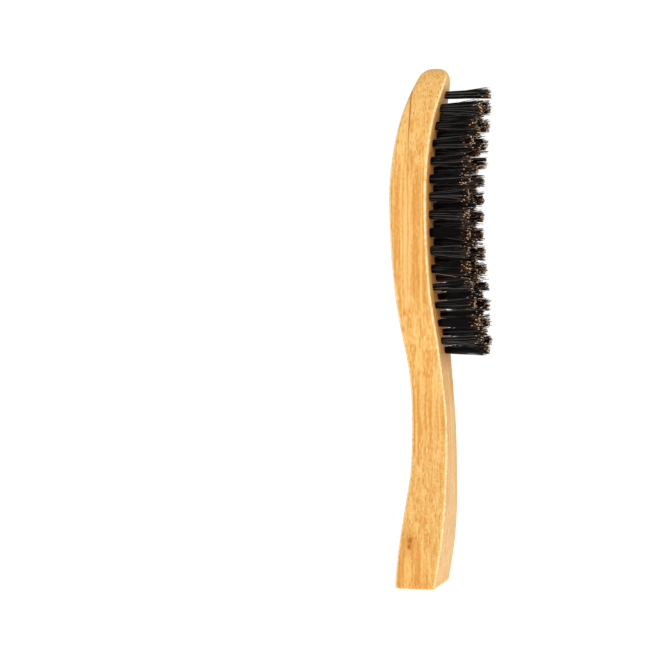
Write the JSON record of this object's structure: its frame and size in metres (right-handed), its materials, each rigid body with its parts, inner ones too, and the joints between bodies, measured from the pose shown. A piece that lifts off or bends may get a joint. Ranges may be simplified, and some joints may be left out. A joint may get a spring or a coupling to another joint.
{
  "type": "beard brush",
  "caption": "Long-handled beard brush: slim curved bamboo handle and leaf-shaped head with rows of short, stiff dark bristle tufts for grooming and blending a beard.",
  "frame": {"origin": "centre of the flat handle end", "axes": "+Z along the brush from the flat handle end to the point of the head, -Y the way the bristles point, +X across the head to the right of somebody facing the bristles"},
  "size_m": [0.0276, 0.0375, 0.2],
  "materials": {
    "bamboo": "oiled satin",
    "bristle": "glossy black bristle, brown cut tips",
    "anchor_steel": "bare flat wire"
  },
  "bodies": {
    "root": {"stock": "bamboo", "tuft_left_01": "bristle", "tuft_left_02": "bristle", "tuft_left_03": "bristle", "tuft_left_04": "bristle", "tuft_left_05": "bristle", "tuft_left_06": "bristle", "tuft_left_07": "bristle", "tuft_left_08": "bristle", "tuft_left_09": "bristle", "tuft_left_10": "bristle", "tuft_left_11": "bristle", "tuft_left_12": "bristle", "tuft_left_13": "bristle", "tuft_left_14": "bristle", "tuft_middle_01": "bristle", "tuft_middle_02": "bristle", "tuft_middle_03": "bristle", "tuft_middle_04": "bristle", "tuft_middle_05": "bristle", "tuft_middle_06": "bristle", "tuft_middle_07": "bristle", "tuft_middle_08": "bristle", "tuft_middle_09": "bristle", "tuft_middle_10": "bristle", "tuft_middle_11": "bristle", "tuft_middle_12": "bristle", "tuft_middle_13": "bristle", "tuft_middle_14": "bristle", "tuft_middle_15": "bristle", "tuft_right_01": "bristle", "tuft_right_02": "bristle", "tuft_right_03": "bristle", "tuft_right_04": "bristle", "tuft_right_05": "bristle", "tuft_right_06": "bristle", "tuft_right_07": "bristle", "tuft_right_08": "bristle", "tuft_right_09": "bristle", "tuft_right_10": "bristle", "tuft_right_11": "bristle", "tuft_right_12": "bristle", "tuft_right_13": "bristle", "tuft_right_14": "bristle", "anchor_middle_01": "anchor_steel", "anchor_middle_02": "anchor_steel", "anchor_middle_03": "anchor_steel", "anchor_middle_04": "anchor_steel", "anchor_middle_05": "anchor_steel", "anchor_middle_06": "anchor_steel", "anchor_middle_07": "anchor_steel", "anchor_middle_08": "anchor_steel", "anchor_middle_09": "anchor_steel", "anchor_middle_10": "anchor_steel", "anchor_middle_11": "anchor_steel", "anchor_middle_12": "anchor_steel", "anchor_middle_13": "anchor_steel", "anchor_middle_14": "anchor_steel", "anchor_middle_15": "anchor_steel"}
  },
  "joints": []
}
